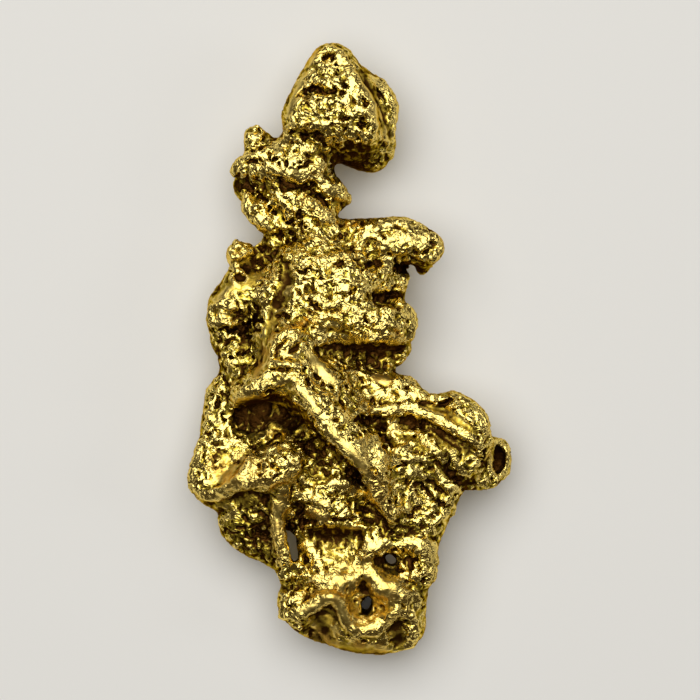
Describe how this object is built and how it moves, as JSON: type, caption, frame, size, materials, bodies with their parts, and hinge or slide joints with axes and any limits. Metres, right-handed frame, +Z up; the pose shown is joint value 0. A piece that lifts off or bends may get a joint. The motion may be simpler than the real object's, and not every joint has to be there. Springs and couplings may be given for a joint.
{
  "type": "gold nugget",
  "caption": "Natural gold nugget: a long, lumpy, crystalline lump with a hooked crown, a folded ridge and two wings, lying on its worn back.",
  "frame": {"origin": "middle of the footprint, at the height of the surface the nugget rests on", "axes": "+Z up, away from the resting surface; +Y along the nugget towards its narrow crown; +X to the right seen from above with the crown away from the viewer"},
  "size_m": [0.0161, 0.0306, 0.0064],
  "materials": {
    "native_gold": "satin"
  },
  "bodies": {
    "root": {"gold_nugget": "native_gold"}
  },
  "joints": []
}
